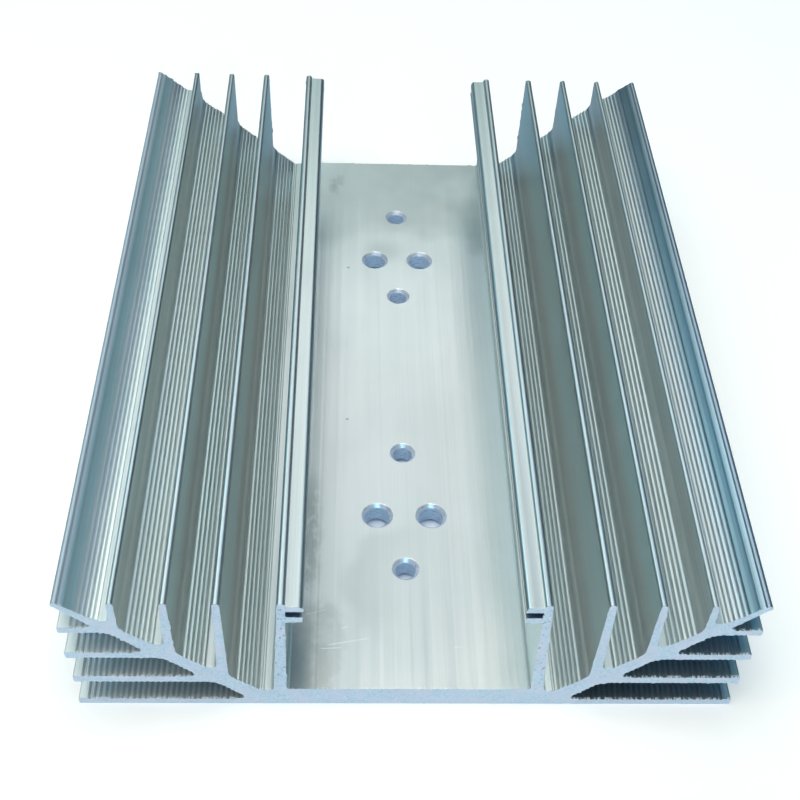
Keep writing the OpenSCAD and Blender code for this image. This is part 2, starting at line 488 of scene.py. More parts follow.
# segments under the arms
MID = (XZ + NEXT) / 2
BELOW = (np.abs(MID[:, 0]) > 27) & (MID[:, 1] - (np.abs(MID[:, 0]) - 20.76) * 0.8302 < -2.1) & (np.abs(MID[:, 0]) < HW - 0.01)


def n3(v):
    return (float(v[0]), 0.0, float(v[1]))


for r in range(NR - 1):
    a, b = ring_start[r], ring_start[r + 1]
    for i in range(N):
        if IS_FLOOR[i] or IS_BOTTOM[i]:
            continue
        j = (i + 1) % N
        na, nb = n3(VN_AFTER[i]), n3(VN_BEFORE[j])
        add_face((a + i, b + i, b + j, a + j), LEVEL if BELOW[i] else EXTRUDED, (na, na, nb, nb))


def circle(cx, cy, r, n=64):
    return [(cx + r * math.cos(2 * math.pi * k / n), cy + r * math.sin(2 * math.pi * k / n)) for k in range(n)]


HOLES = []
for s in (-1, 1):
    for q in (-1, 1):
        HOLES.append((q * PIN / 2, s * ROW_Y, PIN_D / 2))
        HOLES.append((0.0, s * ROW_Y + PIN_OFF + q * FIX / 2, FIX_D / 2))


def plane_with_holes(flags, z, up, radii):
    """The flat strip of the bar on those segments, pierced by the holes."""
    idx = [i for i in range(N) if flags[i]]
    order = idx + [(idx[-1] + 1) % N]
    pts, ids = [], []
    for i in order:                                   # front edge
        pts.append((XZ[i, 0], ROWS[0])); ids.append(ring_start[0] + i)
    for r in range(1, NR - 1):
        pts.append((XZ[order[-1], 0], ROWS[r])); ids.append(ring_start[r] + order[-1])
    for i in reversed(order):
        pts.append((XZ[i, 0], ROWS[-1])); ids.append(ring_start[-1] + i)
    for r in range(NR - 2, 0, -1):
        pts.append((XZ[order[0], 0], ROWS[r])); ids.append(ring_start[r] + order[0])
    loops = [list(range(len(pts)))]
    rims = []
    for (cx, cy, r0), rad in zip(HOLES, radii):
        c = circle(cx, cy, rad)
        loops.append(list(range(len(pts), len(pts) + len(c))))
        start = add_verts([(x, y, z) for x, y in c])
        ids += list(range(start, start + len(c)))
        rims.append(start)
        pts += c
    edges = [(lp[k], lp[(k + 1) % len(lp)]) for lp in loops for k in range(len(lp))]
    v, _, f, vo, _, _ = delaunay_2d_cdt([Vector(p) for p in pts], edges, [], 0, 1e-6)
    back = {}
    for k, orig in enumerate(vo):
        if orig:
            back[k] = ids[orig[0]]
        else:
            back[k] = add_verts([(v[k].x, v[k].y, z)])
    x0, x1 = min(XZ[order[0], 0], XZ[order[-1], 0]), max(XZ[order[0], 0], XZ[order[-1], 0])
    nrm = (0.0, 0.0, 1.0 if up else -1.0)
    for tri in f:
        c = (v[tri[0]] + v[tri[1]] + v[tri[2]]) / 3
        if not (x0 < c.x < x1 and ROWS[0] < c.y < ROWS[-1]):
            continue
        if any((c.x - h[0]) ** 2 + (c.y - h[1]) ** 2 < (rad * 0.999) ** 2 for h, rad in zip(HOLES, radii)):
            continue
        a, b, d = v[tri[0]], v[tri[1]], v[tri[2]]
        ccw = (b.x - a.x) * (d.y - a.y) - (b.y - a.y) * (d.x - a.x) > 0
        t = tri if ccw == up else tri[::-1]
        add_face([back[k] for k in t], FLOOR if up else EXTRUDED, (nrm,) * 3)
    return rims


top_rims = plane_with_holes(IS_FLOOR, BASE_T, True, [h[2] + CHAMFER for h in HOLES])
low_rims = plane_with_holes(IS_BOTTOM, 0.0, False, [h[2] + UNDER for h in HOLES])

# hole walls: a rolled edge, the chamfer with a little chatter, the bore, a
# broken edge underneath
for k, (cx, cy, r0) in enumerate(HOLES):
    n = 64
    levels = [(r0 + CHAMFER - 0.06, BASE_T - 0.03), (r0 + 0.05, BASE_T - CHAMFER + 0.05),
              (r0, BASE_T - CHAMFER - 0.05), (r0, 2.5), (r0, UNDER + 0.05), (r0 + 0.05, UNDER - 0.05)]
    prev = top_rims[k]
    rads = [(r0 + CHAMFER, BASE_T)] + levels + [(r0 + UNDER, 0.0)]
    starts = [prev]
    for li, (r, z) in enumerate(levels):
        ring_pts = []
        for q in range(n):
            a = 2 * math.pi * q / n
            wob = 0.0
            if li == 0:
                wob = 0.025 * math.sin(5 * a + k) + 0.02 * math.sin(9 * a + 2.1 * k)
            if li == 1:
                wob = 0.03 * math.sin(7 * a + 1.3 * k)
            ring_pts.append((cx + (r + wob) * math.cos(a), cy + (r + wob) * math.sin(a), z))
        starts.append(add_verts(ring_pts))
    starts.append(low_rims[k])
    for li in range(len(starts) - 1):
        (ra, za), (rb, zb) = rads[li], rads[li + 1]
        # outward normal of the wall points to the hole's axis
        dr, dz = rb - ra, zb - za
        ln = math.hypot(dr, dz)
        nr, nz = dz / ln, -dr / ln          # radial and vertical parts, towards the axis
        for q in range(n):
            p = (q + 1) % n
            def nn(s):
                a = 2 * math.pi * s / n
                return (nr * math.cos(a), nr * math.sin(a), nz)
            A, B = starts[li], starts[li + 1]
            add_face((A + q, A + p, B + p, B + q), DRILLED, (nn(q), nn(q + 1), nn(q + 1), nn(q)))

# ----------------------------------------------------------------------------
# Sawn faces: a fine mesh with saw marks and torn pits
# ----------------------------------------------------------------------------


def inside_mask(px, pz):
    """Even-odd test of points against the outline."""
    inside = np.zeros(len(px), bool)
    x0, z0, x1, z1 = XZ[:, 0], XZ[:, 1], NEXT[:, 0], NEXT[:, 1]
    for s in range(0, len(px), 2000):
        a, b = px[s:s + 2000, None], pz[s:s + 2000, None]
        c = ((z0 > b) != (z1 > b)) & (a < (x1 - x0) * (b - z0) / np.where(z1 == z0, 1e-9, z1 - z0) + x0)
        inside[s:s + 2000] = c.sum(1) % 2 == 1
    return inside


def edge_gap(px, pz):
    """Distance from points to the nearest outline vertex or edge."""
    out = np.zeros(len(px))
    a = XZ[None]
    d = SEG[None]
    dd = (SLEN ** 2)[None]
    for s in range(0, len(px), 1000):
        p = np.stack([px[s:s + 1000], pz[s:s + 1000]], 1)[:, None]
        t = np.clip(((p - a) * d).sum(2) / dd, 0, 1)
        q = a + d * t[:, :, None]
        out[s:s + 1000] = np.sqrt(((p - q) ** 2).sum(2)).min(1)
    return out


def sawn(front, pits):
    seed = 101 if front else 202
    step = 0.46
    gx, gz = np.meshgrid(np.arange(-HW, HW, step), np.arange(0, HEIGHT, step * 0.87))
    gx = gx + (np.arange(gx.shape[0]) % 2)[:, None] * step / 2
    g = np.random.default_rng(seed)
    px = gx.ravel() + g.uniform(-0.08, 0.08, gx.size)
    pz = gz.ravel() + g.uniform(-0.08, 0.08, gx.size)
    keep = np.ones(len(px), bool)
    extra = []
    for (cx, cz, r, d) in pits:
        keep &= (px - cx) ** 2 + (pz - cz) ** 2 > (r * 1.25) ** 2
        extra.append((cx, cz))
        for rr, m in ((r * 0.5, 5), (r, 7)):
            ph = g.uniform(0, 6)
            extra += [(cx + rr * math.cos(ph + 6.2832 * k / m), cz + rr * math.sin(ph + 6.2832 * k / m)) for k in range(m)]
    px, pz = px[keep], pz[keep]
    if extra:
        e = np.array(extra)
        px, pz = np.concatenate([px, e[:, 0]]), np.concatenate([pz, e[:, 1]])
    ok = inside_mask(px, pz)
    px, pz = px[ok], pz[ok]
    gap = edge_gap(px, pz)
    ok = gap > 0.13
    px, pz, gap = px[ok], pz[ok], gap[ok]
    pts = [Vector((x, z)) for x, z in XZ] + [Vector((x, z)) for x, z in zip(px, pz)]
    edges = [(i, (i + 1) % N) for i in range(N)]
    v, _, f, vo, _, _ = delaunay_2d_cdt(pts, edges, [], 1, 1e-7)
    start = ring_start[0] if front else ring_start[-1]
    y_face = Y0 if front else Y1
    sign = 1 if front else -1      # into the bar
    vx = np.array([p.x for p in v]); vz = np.array([p.y for p in v])
    gapv = np.zeros(len(v)); ids = [None] * len(v); interior = []
    for k, orig in enumerate(vo):
        o = [q for q in orig if q < N]
        if o:
            ids[k] = start + o[0]
        else:
            interior.append(k)
    interior = np.array(interior)
    ix, iz = vx[interior], vz[interior]
    # saw marks: shallow ridges a little off level, over slower waves
    t = iz * math.cos(0.10) + ix * math.sin(0.10)
    marks = 0.016 * noise1(t + 0.25 * noise2(ix, iz, 9, seed + 3), 0.62, seed + 4)
    wave = 0.02 * noise2(ix, iz, 3.1, seed + 5) + 0.014 * noise2(ix, iz, 1.1, seed + 6)
    depth = 0.02 + marks + wave
    for (cx, cz, r, d) in pits:
        q = np.sqrt((ix - cx) ** 2 + (iz - cz) ** 2) / r
        depth += d * np.clip(1 - q ** 1.6, 0, 1)
    depth = np.maximum(depth, -0.05)
    first = add_verts([(float(a), float(y_face + sign * dd), float(b)) for a, dd, b in zip(ix, depth, iz)])
    for n, k in enumerate(interior):
        ids[k] = first + n
    for tri in f:
        a, b, d = (v[q] for q in tri[:3])
        area = (b.x - a.x) * (d.y - a.y) - (b.y - a.y) * (d.x - a.x)
        if abs(area) < 1e-9:
            continue
        t3 = list(tri) if (area > 0) == front else list(tri)[::-1]
        add_face([ids[q] for q in t3], SAWN, None)
    return len(f)


def random_pits(seed, n):
    g = np.random.default_rng(seed)
    out = []
    while len(out) < n:
        x, z = g.uniform(-HW, HW), g.uniform(0, HEIGHT)
        if inside_mask(np.array([x]), np.array([z]))[0]:
            r = g.uniform(0.14, 0.34)
            out.append((x, z, r, g.uniform(0.08, 0.22)))
    return out


def wall_pits(seed, n):
    """Pits down the sawn end of the left wall, thickest near its edges."""
    g = np.random.default_rng(seed)
    out = []
    for _ in range(n):
        z = g.uniform(6, 29)
        x = g.choice([-22.3, -23.3]) + g.uniform(-0.25, 0.35)
        out.append((x, z, g.uniform(0.14, 0.3), g.uniform(0.12, 0.3)))
    return out


front_pits = random_pits(5, 110) + wall_pits(6, 34)
rear_pits = random_pits(8, 110)
nf = sawn(True, front_pits)
nb = sawn(False, rear_pits)

# ----------------------------------------------------------------------------
# The object
# ----------------------------------------------------------------------------


def build(name, v, f, m, nrm, materials):
    mesh = bpy.data.meshes.new(name)
    co = np.array(v, float) * MM
    mesh.from_pydata([tuple(c) for c in co], [], f)
    mesh.polygons.foreach_set("material_index", m)
    mesh.polygons.foreach_set("use_smooth", [True] * len(f))
    for mt in materials:
        mesh.materials.append(mt)
    # sawn faces are smooth within themselves: their corner normals are the
    # area-weighted mean of the sawn faces round the point
    acc = np.zeros((len(v), 3))
    P = np.array(v, float)
    for q, nn in zip(f, nrm):
        if nn is None:
            a, b, c = P[q[0]], P[q[1]], P[q[2]]
            acc_n = np.cross(b - a, c - a)
            for k in q:
                acc[k] += acc_n
    ln = np.linalg.norm(acc, axis=1)
    acc = acc / np.maximum(ln, 1e-12)[:, None]
    loops = []
    for q, nn in zip(f, nrm):
        if nn is None:
            loops.extend([tuple(acc[k]) for k in q])
        else:
            loops.extend(nn)
    mesh.update()
    mesh.normals_split_custom_set(loops)
    obj = bpy.data.objects.new(name, mesh)
    bpy.context.scene.collection.objects.link(obj)
    return obj


# ----------------------------------------------------------------------------
# Materials
# ----------------------------------------------------------------------------


class Nodes:
    def __init__(self, name):
        self.mat = bpy.data.materials.new(name)
        self.mat.use_nodes = True
        self.nt = self.mat.node_tree
        self.nt.nodes.clear()
        self.out = self.nt.nodes.new("ShaderNodeOutputMaterial")
        self.bsdf = self.nt.nodes.new("ShaderNodeBsdfPrincipled")
        self.nt.links.new(self.bsdf.outputs["BSDF"], self.out.inputs["Surface"])
        self.coord = self.nt.nodes.new("ShaderNodeTexCoord").outputs["Object"]
        sep = self.nt.nodes.new("ShaderNodeSeparateXYZ")
        self.nt.links.new(self.coord, sep.inputs[0])
        self.x, self.y, self.z = sep.outputs

    def put(self, socket, value):
        if hasattr(value, "is_output"):
            self.nt.links.new(value, socket)
        else:
            socket.default_value = value

    def math(self, op, a, b=0.0, c=0.0, clamp=False):
        n = self.nt.nodes.new("ShaderNodeMath")
        n.operation = op
        n.use_clamp = clamp
        self.put(n.inputs[0], a)
        self.put(n.inputs[1], b)
        if len(n.inputs) > 2:
            self.put(n.inputs[2], c)
        return n.outputs[0]

    def vec(self, x, y, z):
        n = self.nt.nodes.new("ShaderNodeCombineXYZ")
        self.put(n.inputs[0], x)
        self.put(n.inputs[1], y)
        self.put(n.inputs[2], z)
        return n.outputs[0]

    def scaled(self, sx, sy, sz):
        n = self.nt.nodes.new("ShaderNodeMapping")
        n.inputs["Scale"].default_value = (sx, sy, sz)
        self.nt.links.new(self.coord, n.inputs["Vector"])
        return n.outputs[0]

    def noise(self, vector, scale=1.0, detail=2.0, rough=0.5, distortion=0.0):
        n = self.nt.nodes.new("ShaderNodeTexNoise")
        self.put(n.inputs["Vector"], vector)
        n.inputs["Scale"].default_value = scale
        n.inputs["Detail"].default_value = detail
        n.inputs["Roughness"].default_value = rough
        n.inputs["Distortion"].default_value = distortion
        return n.outputs["Fac"]

    def range(self, v, a, b, c, d, smooth=True):
        n = self.nt.nodes.new("ShaderNodeMapRange")
        n.interpolation_type = "SMOOTHSTEP" if smooth else "LINEAR"
        self.put(n.inputs["Value"], v)
        n.inputs["From Min"].default_value = a
        n.inputs["From Max"].default_value = b
        n.inputs["To Min"].default_value = c
        n.inputs["To Max"].default_value = d
        return n.outputs["Result"]

    def mix(self, fac, a, b):
        n = self.nt.nodes.new("ShaderNodeMix")
        n.data_type = "RGBA"
        self.put(n.inputs[0], fac)
        self.put(n.inputs[6], a)
        self.put(n.inputs[7], b)
        return n.outputs[2]

    def bump(self, height, strength, distance, normal=None):
        n = self.nt.nodes.new("ShaderNodeBump")
        n.inputs["Strength"].default_value = strength
        n.inputs["Distance"].default_value = distance
        self.put(n.inputs["Height"], height)
        if normal is not None:
            self.nt.links.new(normal, n.inputs["Normal"])
        return n.outputs["Normal"]

    def spot(self, cx, cy, rx, ry, soft=1.0):
        """1 in the middle of an oval in the XY plane, in metres, 0 outside."""
        dx = self.math("DIVIDE", self.math("SUBTRACT", self.x, cx), rx)
        dy = self.math("DIVIDE", self.math("SUBTRACT", self.y, cy), ry)
        d = self.math("SQRT", self.math("ADD", self.math("MULTIPLY", dx, dx), self.math("MULTIPLY", dy, dy)))
        return self.range(d, 1.0 - soft, 1.0, 1.0, 0.0)

    def scratch(self, ax, ay, bx, by, w):
        """1 along a straight scratch in the XY plane, in metres."""
        ln = math.hypot(bx - ax, by - ay)
        ux, uy = (bx - ax) / ln, (by - ay) / ln
        px, py = self.math("SUBTRACT", self.x, ax), self.math("SUBTRACT", self.y, ay)
        t = self.math("ADD", self.math("MULTIPLY", px, ux), self.math("MULTIPLY", py, uy))
        s = self.math("ABSOLUTE", self.math("SUBTRACT", self.math("MULTIPLY", px, uy), self.math("MULTIPLY", py, ux)))
        across = self.range(s, w * 0.3, w, 1.0, 0.0)
        along = self.math("MULTIPLY", self.range(t, 0.0, ln * 0.15, 0.0, 1.0), self.range(t, ln * 0.8, ln, 1.0, 0.0))
        return self.math("MULTIPLY", across, along)


def die_lines(m, amount):
    """Base colour and roughness of the plain extruded surface."""
    broad = m.noise(m.scaled(900, 3.0, 900), 1.0, 2.0, 0.6)
    fine = m.noise(m.scaled(5200, 10, 5200), 1.0, 1.0, 0.6)
    cloud = m.noise(m.scaled(60, 38, 60), 1.0, 2.0, 0.6)
    half = 0.5 - amount / 2
    base = m.mix(m.range(broad, 0.25, 0.75, half, half + amount), (0.66, 0.705, 0.70, 1), (0.80, 0.835, 0.83, 1))
    base = m.mix(m.range(fine, 0.3, 0.7, 0.0, 0.25), base, (0.88, 0.90, 0.90, 1))
    base = m.mix(m.range(cloud, 0.45, 0.8, 0.0, 0.25), base, (0.60, 0.64, 0.63, 1))
    rough = m.math("ADD", m.range(broad, 0.2, 0.8, 0.28, 0.36), m.range(cloud, 0.3, 0.8, 0.0, 0.06))
    b = m.bump(broad, 0.3, 0.00012, m.bump(fine, 0.25, 0.00004))
    m.put(m.bsdf.inputs["Normal"], b)
    return base, rough


# painted glints: near-white specks along the bar's front end
def edge_glints(m, base, speck):
    torn = m.math("MULTIPLY", m.range(m.y, -0.0798, -0.0795, 1.0, 0.0), m.range(speck, 0.55, 0.62, 0.0, 0.5))
    return m.mix(torn, base, (0.98, 0.98, 0.98, 1))


def height_over_arm(m, ax):
    return m.math("SUBTRACT", m.z, m.math("MULTIPLY", m.math("SUBTRACT", ax, 0.02076), 0.8302))


def fin_material():
    """Walls, rails, arms and upright fins: painted shade, brown-grey, low down
    on the fin faces, and painted reflection, bluer towards the tips."""
    m = Nodes("extruded_aluminium")
    ax = m.math("ABSOLUTE", m.x)
    base, rough = die_lines(m, 1.0)
    high = height_over_arm(m, ax)
    side = m.math("MULTIPLY", m.range(ax, 0.0268, 0.0276, 0.0, 1.0), m.range(ax, 0.0520, 0.0524, 1.0, 0.0))
    # painted shade: brown-grey low down on the fin faces, patchy, stronger on the left
    low = m.math("MULTIPLY", m.range(high, 0.0012, 0.0022, 0.0, 1.0), m.range(high, 0.0035, 0.0105, 1.0, 0.0))
    patch = m.noise(m.scaled(90, 16, 120), 1.0, 2.0, 0.6)
    low = m.math("MULTIPLY", low, m.range(patch, 0.35, 0.65, 0.3, 1.0))
    low = m.math("MULTIPLY", low, m.range(m.x, -0.01, 0.01, 0.45, 0.32))
    base = m.mix(m.math("MULTIPLY", side, low), base, (0.50, 0.54, 0.50, 1))
    side = m.math("MULTIPLY", side, m.range(m.z, 0.0308, 0.0312, 1.0, 0.0))
    # painted reflection: bluer towards the fin tips
    tip = m.math("MULTIPLY", m.math("MULTIPLY", side, m.range(high, 0.004, 0.013, 0.0, 1.0)), m.range(patch, 0.3, 0.7, 0.55, 1.0))
    base = m.mix(tip, base, (0.66, 0.84, 0.86, 1))
    # painted shade: the right arm's outer band darker
    base = m.mix(m.math("MULTIPLY", m.range(m.x, 0.0556, 0.0568, 0.0, 1.0), 0.95), base, (0.30, 0.38, 0.42, 1))
    # painted light: the left arm's outermost valley lighter
    clean = m.math("MULTIPLY", m.range(m.x, -0.0532, -0.0528, 1.0, 0.0), 0.85)
    base = m.mix(clean, base, (0.92, 0.985, 0.99, 1))
    # painted shade: dark teal next to the left lip, where it is also less metallic
    lip_shade = m.range(m.x, -0.0574, -0.0556, 1.0, 0.0)
    base = m.mix(lip_shade, base, (0.34, 0.54, 0.61, 1))
    # painted shade on the walls' inner faces under the rails, and in the rails' slots
    inner = m.math("MULTIPLY", m.range(ax, 0.0208, 0.0212, 0.0, 1.0), m.range(ax, 0.0223, 0.0227, 1.0, 0.0))
    below = m.math("MULTIPLY", inner, m.range(m.z, 0.0255, 0.0262, 1.0, 0.0))
    base = m.mix(m.math("MULTIPLY", below, 0.75), base, (0.47, 0.60, 0.63, 1))
    slot = m.math("MULTIPLY", m.range(m.z, 0.0276, 0.0279, 0.0, 1.0), m.range(m.z, 0.0294, 0.0297, 1.0, 0.0))
    slot = m.math("MULTIPLY", slot, m.math("MULTIPLY", m.range(ax, 0.0191, 0.0193, 0.0, 1.0), m.range(ax, 0.0223, 0.0227, 1.0, 0.0)))
    base = m.mix(m.math("MULTIPLY", slot, 0.8), base, (0.22, 0.40, 0.62, 1))
    foot = m.math("MULTIPLY", inner, m.range(m.z, 0.0060, 0.0070, 1.0, 0.0))
    # plain lands at the fins' feet
    land = m.math("MULTIPLY", m.range(high, -0.0012, -0.0010, 0.0, 1.0), m.range(high, -0.00048, -0.00036, 1.0, 0.0))
    land = m.math("MULTIPLY", land, m.range(ax, 0.0268, 0.0272, 0.0, 1.0))
    base = m.mix(m.math("MULTIPLY", land, 0.7), base, (0.58, 0.63, 0.72, 1))
    speck = m.noise(m.scaled(2300, 900, 2300), 1.0, 1.0, 0.6)
    m.put(m.bsdf.inputs["Base Color"], edge_glints(m, base, speck))
    matt = m.math("MAXIMUM", m.math("MULTIPLY", lip_shade, 0.36), m.math("MULTIPLY", foot, 0.6))
    m.put(m.bsdf.inputs["Metallic"], m.math("SUBTRACT", 0.95, matt))
    m.put(m.bsdf.inputs["Roughness"], m.math("ADD", rough, m.math("MULTIPLY", clean, 0.10)))
    return m.mat


def level_material():
    """Level fins and the arms' undersides: painted shade, darker and bluer further in,
    with painted light on the left, and painted glints where burrs stand on the crests at the front."""
    m = Nodes("extruded_level_fins")
    ax = m.math("ABSOLUTE", m.x)
    base, rough = die_lines(m, 1.0)
    right = m.math("GREATER_THAN", m.x, 0.0)
    comb = m.math("MULTIPLY", m.math("ABSOLUTE", m.math("SINE", m.math("MULTIPLY", m.math("SUBTRACT", ax, 0.05735), 3141.59))), 0.0006)
    depth = m.math("SUBTRACT", 0.0800, m.math("ABSOLUTE", m.y))
    near = m.math("MULTIPLY", m.range(m.y, -0.0740, -0.0680, 1.0, 0.0), m.range(ax, 0.0570, 0.0590, 1.0, 0.0))
    # painted shade: about 3.4 mm in from the front the level fins turn blue, the edge following the flutes, only near
    # the front and short of the outer ends
    deep_shade = m.math("MULTIPLY", near, m.range(m.math("SUBTRACT", depth, comb), 0.0031, 0.0037, 0.0, 0.75))
    # painted light on the left level fins and painted shade on the right ones, near the front
    shade = m.mix(right, (0.98, 1.0, 0.97, 1), (0.34, 0.47, 0.50, 1))
    inner = m.mix(right, (0.50, 0.66, 0.90, 1), (0.14, 0.36, 0.80, 1))
    tint = m.math("MULTIPLY", m.math("ADD", m.math("MULTIPLY", right, 0.1), 0.65), m.range(m.y, -0.0740, -0.0600, 1.0, 0.0))
    base = m.mix(tint, base, shade)
    base = m.mix(deep_shade, base, inner)
    # painted shade in the flute hollows
    hollow_shade = m.math("MULTIPLY", m.range(comb, 0.00025, 0.0006, 0.0, 0.62), m.range(ax, 0.0582, 0.0586, 1.0, 0.0))
    base = m.mix(hollow_shade, base, (0.30, 0.35, 0.37, 1))
    # painted shade: darker towards the middle, under the arms
    base = m.mix(m.range(ax, 0.034, 0.050, 0.38, 0.0), base, (0.28, 0.33, 0.35, 1))
    speck = m.noise(m.scaled(2300, 900, 2300), 1.0, 1.0, 0.6)
    # painted glints: pale blue-white specks along the front edge, where the burrs stand
    burr_and_glint = m.math("MULTIPLY", m.range(depth, 0.00035, 0.0006, 1.0, 0.0), m.range(speck, 0.50, 0.56, 0.0, 1.0))
    burr_and_glint = m.math("MULTIPLY", burr_and_glint, m.range(ax, 0.0597, 0.0599, 1.0, 0.0))
    base = m.mix(burr_and_glint, base, (0.84, 0.93, 1.0, 1))
    m.put(m.bsdf.inputs["Base Color"], base)
    plain = m.math("ADD", m.math("MULTIPLY", right, 0.28), 0.60)
    plain = m.math("MULTIPLY", plain, m.range(m.y, -0.0720, -0.0580, 1.0, 0.68))
    m.put(m.bsdf.inputs["Metallic"], m.math("MULTIPLY", plain, m.math("SUBTRACT", 1.0, m.math("MULTIPLY", burr_and_glint, 0.9))))
    m.put(m.bsdf.inputs["Roughness"], rough)
    return m.mat


def floor_material():
    """The channel's floor: painted light by the walls, painted shadow of the left wall, painted reflection darker to
    the rear, darker patches, a darker ring, scratches and dark dots.
    """
    m = Nodes("extruded_channel_floor")
    base, rough = die_lines(m, 0.45)
    base = m.mix(0.35, base, (0.79, 0.78, 0.77, 1))
    # painted light: paler by the walls, which reflect onto the floor; lighter across the middle too
    pale = m.math("MAXIMUM", m.range(m.x, 0.009, 0.018, 0.0, 0.9), m.range(m.x, -0.0205, -0.0120, 0.55, 0.0))
    mid = m.math("MULTIPLY", m.range(m.y, 0.000, 0.022, 0.0, 0.5), m.range(m.y, 0.030, 0.046, 1.0, 0.0))
    base = m.mix(m.math("MAXIMUM", pale, mid), base, (0.94, 0.955, 0.95, 1))
    blot = m.noise(m.scaled(170, 110, 170), 1.0, 3.0, 0.7)
    soft = m.noise(m.scaled(55, 55, 55), 1.0, 2.0, 0.6)
    bent = m.math("ADD", m.y, m.math("MULTIPLY", m.math("SUBTRACT", soft, 0.5), 0.016))
    bent = m.math("ADD", bent, m.math("MULTIPLY", m.math("MULTIPLY", m.x, m.x), 12.0))
    # painted reflection: darker beyond a bent line towards the rear, less on the left
    rear_reflection = m.math("MULTIPLY", m.range(bent, 0.047, 0.056, 0.0, 1.0), m.range(soft, 0.3, 0.7, 0.45, 0.9))
    rear_reflection = m.math("MULTIPLY", rear_reflection, m.range(m.x, -0.014, 0.002, 0.45, 1.0))
    # a darker ring round (5, -58) mm, stronger on the left, weaker at the very front
    dx, dy = m.math("SUBTRACT", m.x, 0.005), m.math("ADD", m.y, 0.058)
    rad = m.math("SQRT", m.math("ADD", m.math("MULTIPLY", dx, dx), m.math("MULTIPLY", dy, dy)))
    rad = m.math("ADD", rad, m.math("MULTIPLY", m.math("SUBTRACT", soft, 0.5), 0.012))
    dark_ring = m.math("MULTIPLY", m.range(rad, 0.004, 0.0145, 0.3, 1.0), m.range(rad, 0.0148, 0.0180, 1.0, 0.0))
    dark_ring = m.math("MULTIPLY", dark_ring, m.range(m.x, -0.009, 0.006, 0.48, 0.06))
    dark_ring = m.math("MULTIPLY", dark_ring, m.range(m.y, -0.070, -0.062, 0.3, 1.0))
    # painted shadow of the left wall: a darker wedge at the front left, and a dark band right by the wall at the front
    wall_shadow_wedge = m.range(m.math("ADD", m.x, m.math("MULTIPLY", m.math("SUBTRACT", blot, 0.5), 0.012)), -0.0150, -0.0115, 1.0, 0.0)
    front = m.math("MULTIPLY", m.range(m.math("ADD", m.y, m.math("MULTIPLY", m.math("SUBTRACT", blot, 0.5), 0.012)), -0.0640, -0.0595, 1.0, 0.0), wall_shadow_wedge)
    front = m.math("MULTIPLY", front, m.range(blot, 0.3, 0.62, 0.4, 1.0))
    edge = m.math("MULTIPLY", m.range(m.x, -0.0200, -0.0172, 1.0, 0.0), m.range(m.y, -0.074, -0.060, 1.0, 0.0))
    # darker patches: one along the left wall, two further back on the left
    dark_patch_a = m.math("MULTIPLY", m.spot(-0.0195, -0.045, 0.0042, 0.022, 0.7), m.range(blot, 0.40, 0.58, 0.0, 0.95))
    dark_patch_b = m.math("MULTIPLY", m.spot(-0.0150, 0.0705, 0.0042, 0.0085, 0.8), m.range(blot, 0.38, 0.62, 0.15, 0.95))
    dark_patch_c = m.math("MULTIPLY", m.spot(-0.010, 0.060, 0.006, 0.007, 0.8), m.range(blot, 0.45, 0.62, 0.0, 0.5))
    near_hole = m.math("MULTIPLY", m.spot(-0.0035, 0.0435, 0.0065, 0.006, 0.9), 0.45)
    grey = rear_reflection
    for extra in (dark_ring, front, dark_patch_a, dark_patch_b, dark_patch_c, near_hole):
        grey = m.math("MAXIMUM", grey, extra)
    base = m.mix(grey, base, (0.56, 0.59, 0.585, 1))
    base = m.mix(m.math("MULTIPLY", edge, 0.8), base, (0.26, 0.33, 0.36, 1))
    marks = None
    for x0, y0, x1, y1, w, k in ((-0.0155, -0.0708, -0.0065, -0.0690, 0.00020, 0.55), (-0.0125, -0.0670, -0.0110, -0.0665, 0.00016, 0.6),
                                 (-0.0165, -0.0715, -0.0120, -0.0712, 0.00016, 0.6), (0.0085, -0.0712, 0.0103, -0.0710, 0.00016, 0.35),
                                 (-0.0195, -0.0640, -0.0150, -0.0628, 0.00014, 0.4)):
        one = m.math("MULTIPLY", m.scratch(x0, y0, x1, y1, w), k)
        marks = one if marks is None else m.math("MAXIMUM", marks, one)
    base = m.mix(marks, base, (1.0, 1.0, 1.0, 1))
    dots = m.math("MAXIMUM", m.spot(-0.0118, -0.0135, 0.0005, 0.0004, 0.6), m.spot(-0.0120, 0.037, 0.0005, 0.0004, 0.6))
    base = m.mix(m.math("MULTIPLY", dots, 0.7), base, (0.30, 0.30, 0.28, 1))
    speck = m.noise(m.scaled(2300, 900, 2300), 1.0, 1.0, 0.6)
    m.put(m.bsdf.inputs["Base Color"], edge_glints(m, base, speck))
    m.bsdf.inputs["Metallic"].default_value = 0.95
    m.put(m.bsdf.inputs["Roughness"], m.math("ADD", rough, m.math("MULTIPLY", grey, 0.05)))
    return m.mat


